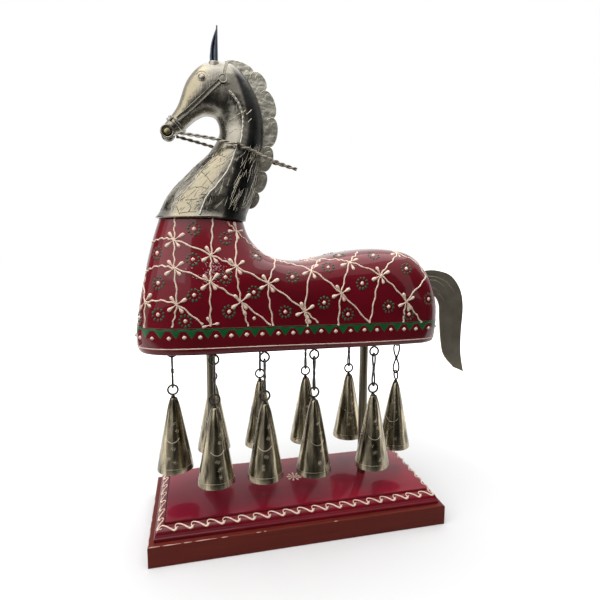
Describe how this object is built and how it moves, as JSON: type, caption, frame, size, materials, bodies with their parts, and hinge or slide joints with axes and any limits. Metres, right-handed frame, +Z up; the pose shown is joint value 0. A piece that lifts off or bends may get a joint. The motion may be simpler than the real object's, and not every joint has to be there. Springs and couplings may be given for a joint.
{
  "type": "horse figurine",
  "caption": "Lacquered wooden horse with a sheet-metal neck and head, on two posts over a moulded base, with rolled cone bells hanging on wire links below its body.",
  "frame": {"origin": "centre of the base's underside", "axes": "+Z up, -X towards the nose, +Y towards the horse's right side"},
  "size_m": [0.2425, 0.0866, 0.3319],
  "materials": {
    "red_lacquer": "gloss lacquer over wood",
    "dark_red_lacquer": "worn satin lacquer over wood",
    "bright_sheet": "bright white-metal sheet, chased",
    "grey_sheet": "darkened white-metal sheet",
    "bell_metal": "antiqued rolled sheet",
    "dark_wire": "darkened iron wire",
    "post_steel": "plain steel rod"
  },
  "bodies": {
    "figurine": {"base_plinth": "dark_red_lacquer", "base_board": "red_lacquer", "post_front": "post_steel", "post_rear": "post_steel", "body": "red_lacquer", "mane": "bright_sheet", "noseband": "bright_sheet", "reins": "dark_wire", "tail": "grey_sheet", "neck_shell_left": "bright_sheet", "eye_left": "bright_sheet", "ear_left": "grey_sheet", "halter_left": "grey_sheet", "bit_ring_left": "bright_sheet", "neck_shell_right": "bright_sheet", "eye_right": "bright_sheet", "ear_right": "grey_sheet", "halter_right": "grey_sheet", "bit_ring_right": "bright_sheet", "screw_eye_near_1": "dark_wire", "screw_eye_near_2": "dark_wire", "screw_eye_near_3": "dark_wire", "screw_eye_near_4": "dark_wire", "screw_eye_far_1": "dark_wire", "screw_eye_far_2": "dark_wire", "screw_eye_far_3": "dark_wire", "screw_eye_far_4": "dark_wire", "screw_eye_front": "dark_wire", "screw_eye_rear": "dark_wire"},
    "link_near_1": {"link_near_1": "dark_wire"},
    "bell_near_1": {"bell_near_1": "bell_metal"},
    "clapper_near_1": {"clapper_near_1": "dark_wire"},
    "link_near_2": {"link_near_2": "dark_wire"},
    "bell_near_2": {"bell_near_2": "bell_metal"},
    "clapper_near_2": {"clapper_near_2": "dark_wire"},
    "link_near_3": {"link_near_3": "dark_wire"},
    "bell_near_3": {"bell_near_3": "bell_metal"},
    "clapper_near_3": {"clapper_near_3": "dark_wire"},
    "link_near_4": {"link_near_4": "dark_wire"},
    "bell_near_4": {"bell_near_4": "bell_metal"},
    "clapper_near_4": {"clapper_near_4": "dark_wire"},
    "link_far_1": {"link_far_1": "dark_wire"},
    "bell_far_1": {"bell_far_1": "bell_metal"},
    "clapper_far_1": {"clapper_far_1": "dark_wire"},
    "link_far_2": {"link_far_2": "dark_wire"},
    "bell_far_2": {"bell_far_2": "bell_metal"},
    "clapper_far_2": {"clapper_far_2": "dark_wire"},
    "link_far_3": {"link_far_3": "dark_wire"},
    "bell_far_3": {"bell_far_3": "bell_metal"},
    "clapper_far_3": {"clapper_far_3": "dark_wire"},
    "link_far_4": {"link_far_4": "dark_wire"},
    "bell_far_4": {"bell_far_4": "bell_metal"},
    "clapper_far_4": {"clapper_far_4": "dark_wire"},
    "link_front": {"link_front": "dark_wire"},
    "bell_front": {"bell_front": "bell_metal"},
    "clapper_front": {"clapper_front": "dark_wire"},
    "link_rear": {"link_rear": "dark_wire"},
    "bell_rear": {"bell_rear": "bell_metal"},
    "clapper_rear": {"clapper_rear": "dark_wire"}
  },
  "joints": [
    {"name": "link_swing_near_1", "type": "hinge", "parent": "figurine", "child": "link_near_1", "pos_m": [-0.0578, -0.0254, 0.12095], "axis": [-1, 0, 0], "range_deg": [-5, 45]},
    {"name": "bell_swing_near_1", "type": "hinge", "parent": "link_near_1", "child": "bell_near_1", "pos_m": [-0.0578, -0.0254, 0.0996], "axis": [0, 1, 0], "range_deg": [-5.5, 18]},
    {"name": "clapper_swing_near_1", "type": "hinge", "parent": "bell_near_1", "child": "clapper_near_1", "pos_m": [-0.0578, -0.0254, 0.08235], "axis": [1, 0, 0], "range_deg": [-10, 10]},
    {"name": "link_swing_near_2", "type": "hinge", "parent": "figurine", "child": "link_near_2", "pos_m": [-0.0254, -0.0254, 0.12095], "axis": [-1, 0, 0], "range_deg": [-8, 45]},
    {"name": "bell_swing_near_2", "type": "hinge", "parent": "link_near_2", "child": "bell_near_2", "pos_m": [-0.0254, -0.0254, 0.0996], "axis": [0, 1, 0], "range_deg": [-6.5, 5.5]},
    {"name": "clapper_swing_near_2", "type": "hinge", "parent": "bell_near_2", "child": "clapper_near_2", "pos_m": [-0.0254, -0.0254, 0.08235], "axis": [1, 0, 0], "range_deg": [-10, 10]},
    {"name": "link_swing_near_3", "type": "hinge", "parent": "figurine", "child": "link_near_3", "pos_m": [0.008, -0.0254, 0.12095], "axis": [-1, 0, 0], "range_deg": [-8, 45]},
    {"name": "bell_swing_near_3", "type": "hinge", "parent": "link_near_3", "child": "bell_near_3", "pos_m": [0.008, -0.0254, 0.0996], "axis": [0, 1, 0], "range_deg": [-14, 6.5]},
    {"name": "clapper_swing_near_3", "type": "hinge", "parent": "bell_near_3", "child": "clapper_near_3", "pos_m": [0.008, -0.0254, 0.08235], "axis": [1, 0, 0], "range_deg": [-10, 10]},
    {"name": "link_swing_near_4", "type": "hinge", "parent": "figurine", "child": "link_near_4", "pos_m": [0.0506, -0.0254, 0.12095], "axis": [-1, 0, 0], "range_deg": [-5, 45]},
    {"name": "bell_swing_near_4", "type": "hinge", "parent": "link_near_4", "child": "bell_near_4", "pos_m": [0.0506, -0.0254, 0.0996], "axis": [0, 1, 0], "range_deg": [-15, 14]},
    {"name": "clapper_swing_near_4", "type": "hinge", "parent": "bell_near_4", "child": "clapper_near_4", "pos_m": [0.0506, -0.0254, 0.08235], "axis": [1, 0, 0], "range_deg": [-10, 10]},
    {"name": "link_swing_far_1", "type": "hinge", "parent": "figurine", "child": "link_far_1", "pos_m": [-0.0574, 0.0254, 0.12095], "axis": [1, 0, 0], "range_deg": [-5, 45]},
    {"name": "bell_swing_far_1", "type": "hinge", "parent": "link_far_1", "child": "bell_far_1", "pos_m": [-0.0574, 0.0254, 0.0996], "axis": [0, 1, 0], "range_deg": [-8.5, 18]},
    {"name": "clapper_swing_far_1", "type": "hinge", "parent": "bell_far_1", "child": "clapper_far_1", "pos_m": [-0.0574, 0.0254, 0.08235], "axis": [1, 0, 0], "range_deg": [-10, 10]},
    {"name": "link_swing_far_2", "type": "hinge", "parent": "figurine", "child": "link_far_2", "pos_m": [-0.0218, 0.0254, 0.12095], "axis": [1, 0, 0], "range_deg": [-8, 45]},
    {"name": "bell_swing_far_2", "type": "hinge", "parent": "link_far_2", "child": "bell_far_2", "pos_m": [-0.0218, 0.0254, 0.0996], "axis": [0, 1, 0], "range_deg": [-8.5, 8.5]},
    {"name": "clapper_swing_far_2", "type": "hinge", "parent": "bell_far_2", "child": "clapper_far_2", "pos_m": [-0.0218, 0.0254, 0.08235], "axis": [1, 0, 0], "range_deg": [-10, 10]},
    {"name": "link_swing_far_3", "type": "hinge", "parent": "figurine", "child": "link_far_3", "pos_m": [0.014, 0.0254, 0.12095], "axis": [1, 0, 0], "range_deg": [-8, 45]},
    {"name": "bell_swing_far_3", "type": "hinge", "parent": "link_far_3", "child": "bell_far_3", "pos_m": [0.014, 0.0254, 0.0996], "axis": [0, 1, 0], "range_deg": [-8.5, 8.5]},
    {"name": "clapper_swing_far_3", "type": "hinge", "parent": "bell_far_3", "child": "clapper_far_3", "pos_m": [0.014, 0.0254, 0.08235], "axis": [1, 0, 0], "range_deg": [-10, 10]},
    {"name": "link_swing_far_4", "type": "hinge", "parent": "figurine", "child": "link_far_4", "pos_m": [0.0496, 0.0254, 0.12095], "axis": [1, 0, 0], "range_deg": [-5, 45]},
    {"name": "bell_swing_far_4", "type": "hinge", "parent": "link_far_4", "child": "bell_far_4", "pos_m": [0.0496, 0.0254, 0.0996], "axis": [0, 1, 0], "range_deg": [-15, 8.5]},
    {"name": "clapper_swing_far_4", "type": "hinge", "parent": "bell_far_4", "child": "clapper_far_4", "pos_m": [0.0496, 0.0254, 0.08235], "axis": [1, 0, 0], "range_deg": [-10, 10]},
    {"name": "link_swing_front", "type": "hinge", "parent": "figurine", "child": "link_front", "pos_m": [-0.0846, 0, 0.12095], "axis": [-1, 0, 0], "range_deg": [-45, 45]},
    {"name": "bell_swing_front", "type": "hinge", "parent": "link_front", "child": "bell_front", "pos_m": [-0.0846, 0, 0.0996], "axis": [0, 1, 0], "range_deg": [-5, 30]},
    {"name": "clapper_swing_front", "type": "hinge", "parent": "bell_front", "child": "clapper_front", "pos_m": [-0.0846, 0, 0.08235], "axis": [1, 0, 0], "range_deg": [-10, 10]},
    {"name": "link_swing_rear", "type": "hinge", "parent": "figurine", "child": "link_rear", "pos_m": [0.079, 0, 0.12095], "axis": [0, 1, 0], "range_deg": [-45, 5]},
    {"name": "bell_swing_rear", "type": "hinge", "parent": "link_rear", "child": "bell_rear", "pos_m": [0.079, 0, 0.0996], "axis": [1, 0, 0], "range_deg": [-20, 20]},
    {"name": "clapper_swing_rear", "type": "hinge", "parent": "bell_rear", "child": "clapper_rear", "pos_m": [0.079, 0, 0.08235], "axis": [0, 1, 0], "range_deg": [-10, 10]}
  ]
}
